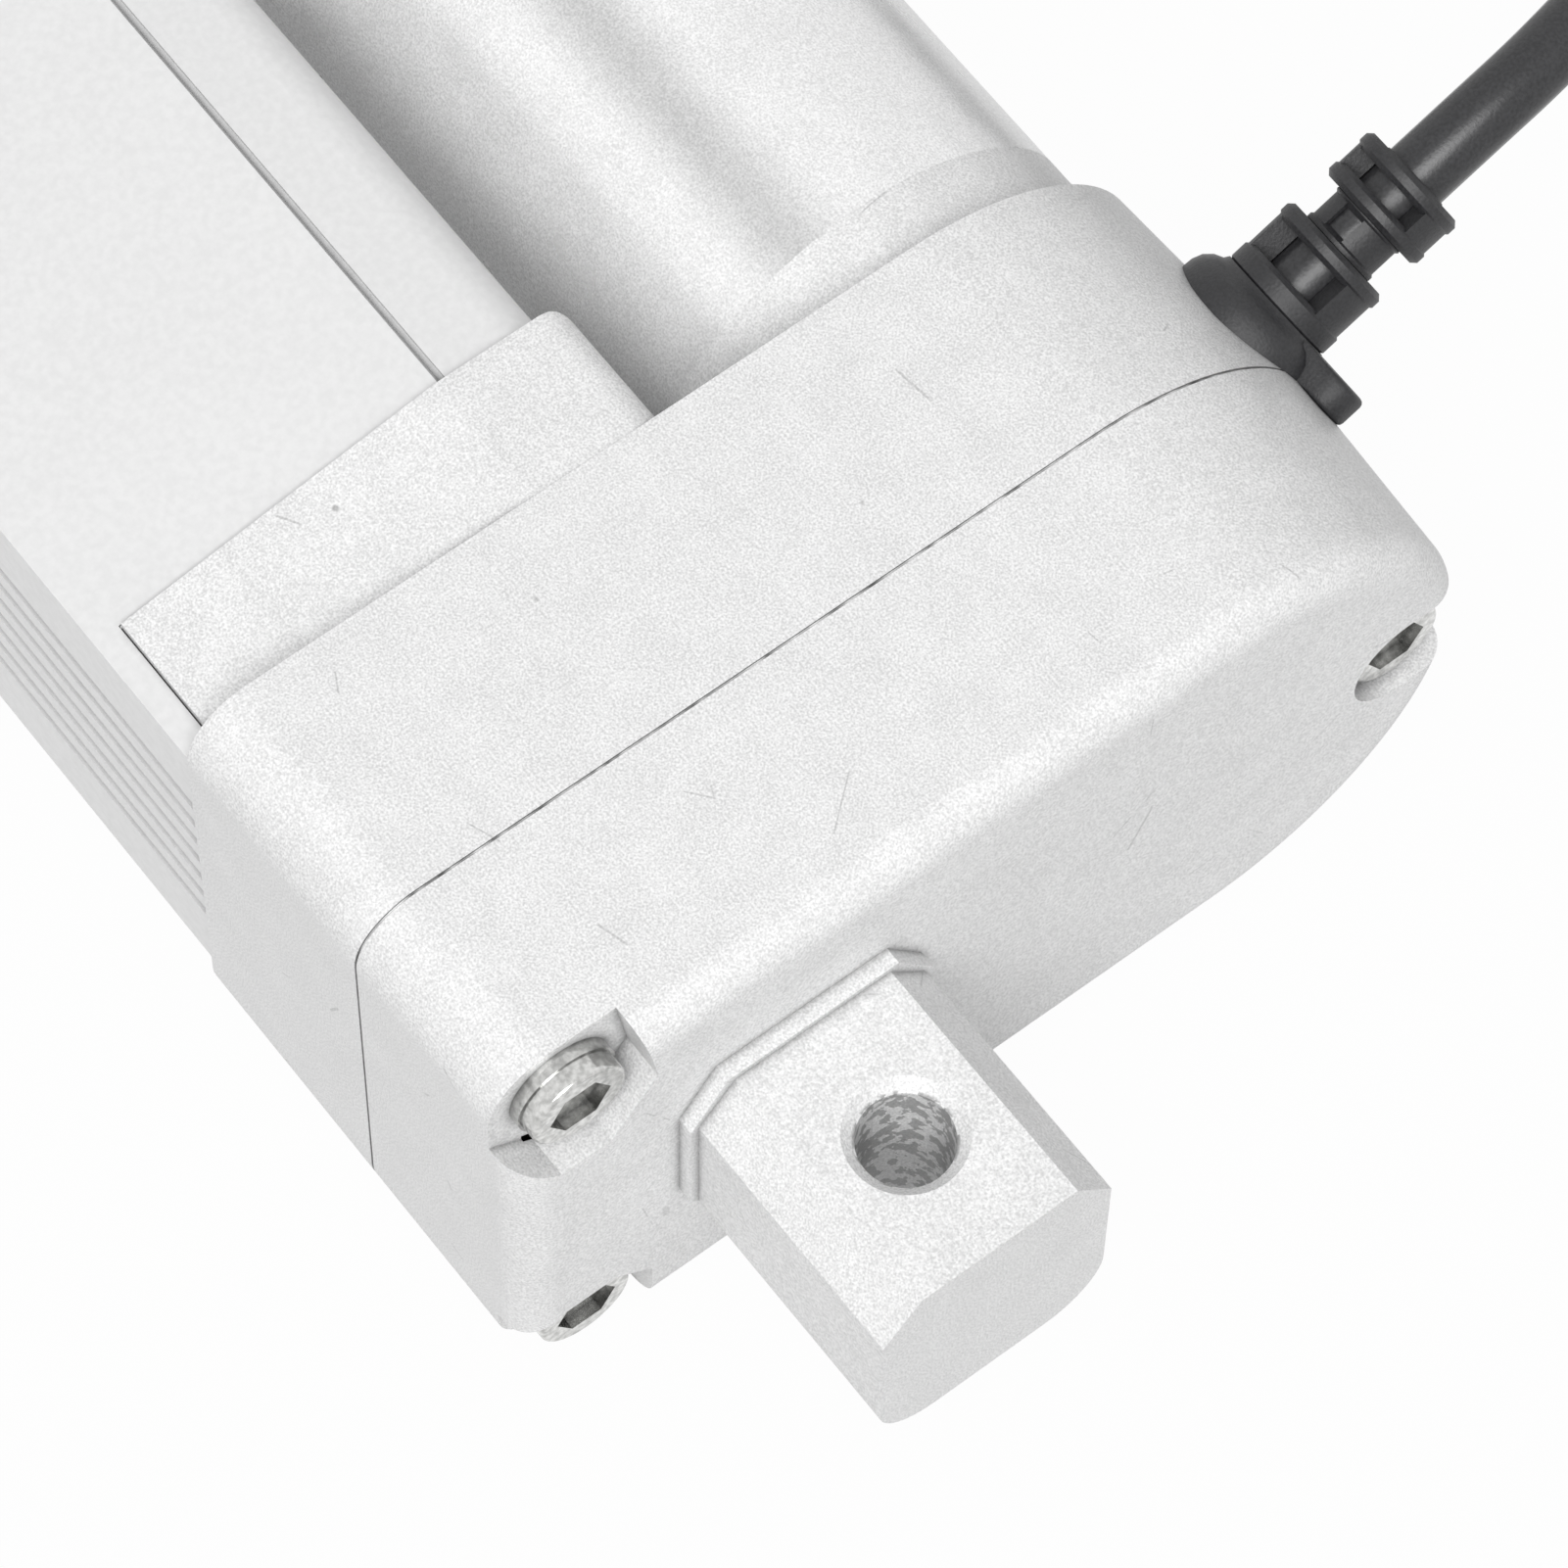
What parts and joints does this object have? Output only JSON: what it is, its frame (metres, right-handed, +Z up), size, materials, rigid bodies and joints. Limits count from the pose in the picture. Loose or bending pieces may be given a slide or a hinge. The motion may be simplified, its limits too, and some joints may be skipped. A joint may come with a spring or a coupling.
{
  "type": "electric linear actuator",
  "caption": "Electric linear actuator: motor beside the lead screw, gearbox with rear mounting tang, extruded square tube, steel rod with an eye, and a black cable",
  "frame": {"origin": "centre of the rear mounting hole in the tang", "axes": "+X along the rod towards the front end, -Y from the tube to the motor, +Z up along the mounting holes"},
  "size_m": [0.2243, 0.1919, 0.039],
  "materials": {
    "cast_paint": "silver-grey paint with a fine metallic grain on zinc die casting",
    "anodised_tube": "smooth satin silver anodising",
    "seal_rubber": "black nitrile rubber sheet",
    "plated_steel": "bright zinc plating",
    "motor_steel": "silver-grey paint with a fine metallic grain on drawn steel",
    "bright_steel": "ground steel",
    "rod_steel": "polished stainless steel",
    "cage_brass": "pressed brass",
    "bush_bronze": "sintered bronze",
    "natural_plastic": "natural white acetal",
    "black_plastic": "moulded black plastic",
    "switch_white": "moulded white plastic",
    "board_green": "green solder mask on glass fibre",
    "magnet_grey": "sintered ferrite",
    "carbon_grey": "copper graphite",
    "spring_steel": "spring wire",
    "lamination_steel": "stacked silicon steel sheet",
    "copper": "bare and enamelled copper",
    "wire_jacket": "thin red wire insulation",
    "boot_rubber": "matt black flexible PVC"
  },
  "bodies": {
    "housing": {"gear_housing": "cast_paint", "rear_cover": "cast_paint", "housing_gasket": "seal_rubber", "rear_cover_screws": "plated_steel", "lock_washers": "plated_steel", "outer_tube": "anodised_tube", "tube_seal": "seal_rubber", "tube_screws": "plated_steel", "front_cap": "cast_paint", "front_cap_screws": "plated_steel", "rod_wiper": "seal_rubber", "rod_guide_bush": "bush_bronze", "motor_tube": "motor_steel", "motor_front_plate": "natural_plastic", "motor_end_cap": "motor_steel", "motor_magnets": "magnet_grey", "motor_bushes": "bush_bronze", "motor_screws": "plated_steel", "brush_plate": "black_plastic", "motor_brushes": "carbon_grey", "brush_springs": "spring_steel", "idler_axle": "bright_steel", "screw_rear_bush": "bush_bronze", "bearing_outer_ring": "bright_steel", "bearing_circlip": "plated_steel", "limit_switch_board": "board_green", "rear_limit_switch": "black_plastic", "front_limit_switch": "black_plastic", "limit_diodes": "black_plastic", "switch_wires": "wire_jacket", "motor_wires": "wire_jacket", "strain_relief": "boot_rubber", "cable_jacket_end": "boot_rubber", "cable": "boot_rubber", "cable_coil": "boot_rubber", "cable_tail": "boot_rubber", "coil_tie": "black_plastic", "cable_connector": "black_plastic", "connector_pins": "copper"},
    "rod": {"inner_rod": "rod_steel", "rod_end_eye": "rod_steel", "drive_nut": "natural_plastic", "rod_pins": "plated_steel"},
    "screw": {"lead_screw": "bright_steel", "screw_gear": "natural_plastic", "screw_gear_clip": "plated_steel", "screw_spacer": "plated_steel", "bearing_inner_ring": "bright_steel", "screw_tip_bush": "natural_plastic"},
    "ball_cage": {"bearing_balls": "bright_steel", "bearing_cage": "cage_brass"},
    "idler": {"idler_gear": "natural_plastic", "idler_pinion": "bright_steel"},
    "rotor": {"motor_shaft": "bright_steel", "armature_core": "lamination_steel", "armature_windings": "copper", "commutator": "copper", "motor_pinion": "bright_steel"},
    "rear_plunger": {"rear_switch_plunger": "switch_white"},
    "front_plunger": {"front_switch_plunger": "switch_white"}
  },
  "joints": [
    {"name": "rod_slide", "type": "slide", "parent": "housing", "child": "rod", "axis": [1, 0, 0], "range_m": [0, 0.1]},
    {"name": "rotor_spin", "type": "hinge", "parent": "housing", "child": "rotor", "pos_m": [0.04, -0.0357, 0], "axis": [-1, 0, 0], "range_deg": [0, 104150]},
    {"name": "idler_spin", "type": "hinge", "parent": "housing", "child": "idler", "pos_m": [0.03, -0.0205, 0], "axis": [-1, 0, 0], "range_deg": [-37256, 60]},
    {"name": "screw_spin", "type": "hinge", "parent": "housing", "child": "screw", "pos_m": [0.04, 0, 0], "axis": [-1, 0, 0], "range_deg": [-60, 12059]},
    {"name": "ball_cage_spin", "type": "hinge", "parent": "housing", "child": "ball_cage", "pos_m": [0.0399, 0, 0], "axis": [-1, 0, 0], "range_deg": [-60, 4472]},
    {"name": "rear_plunger_press", "type": "slide", "parent": "housing", "child": "rear_plunger", "axis": [0, 1, 0], "range_m": [0, 0.0006], "stiffness_N_per_m": 800},
    {"name": "front_plunger_press", "type": "slide", "parent": "housing", "child": "front_plunger", "axis": [0, 1, 0], "range_m": [0, 0.0006], "stiffness_N_per_m": 800}
  ],
  "couplings": [
    {"joint": "idler_spin", "follows": "rotor_spin", "ratio": -0.35714},
    {"joint": "screw_spin", "follows": "rotor_spin", "ratio": 0.11521},
    {"joint": "ball_cage_spin", "follows": "rotor_spin", "ratio": 0.042358},
    {"joint": "rod_slide", "follows": "rotor_spin", "m_per_rad": 0.000055007}
  ]
}
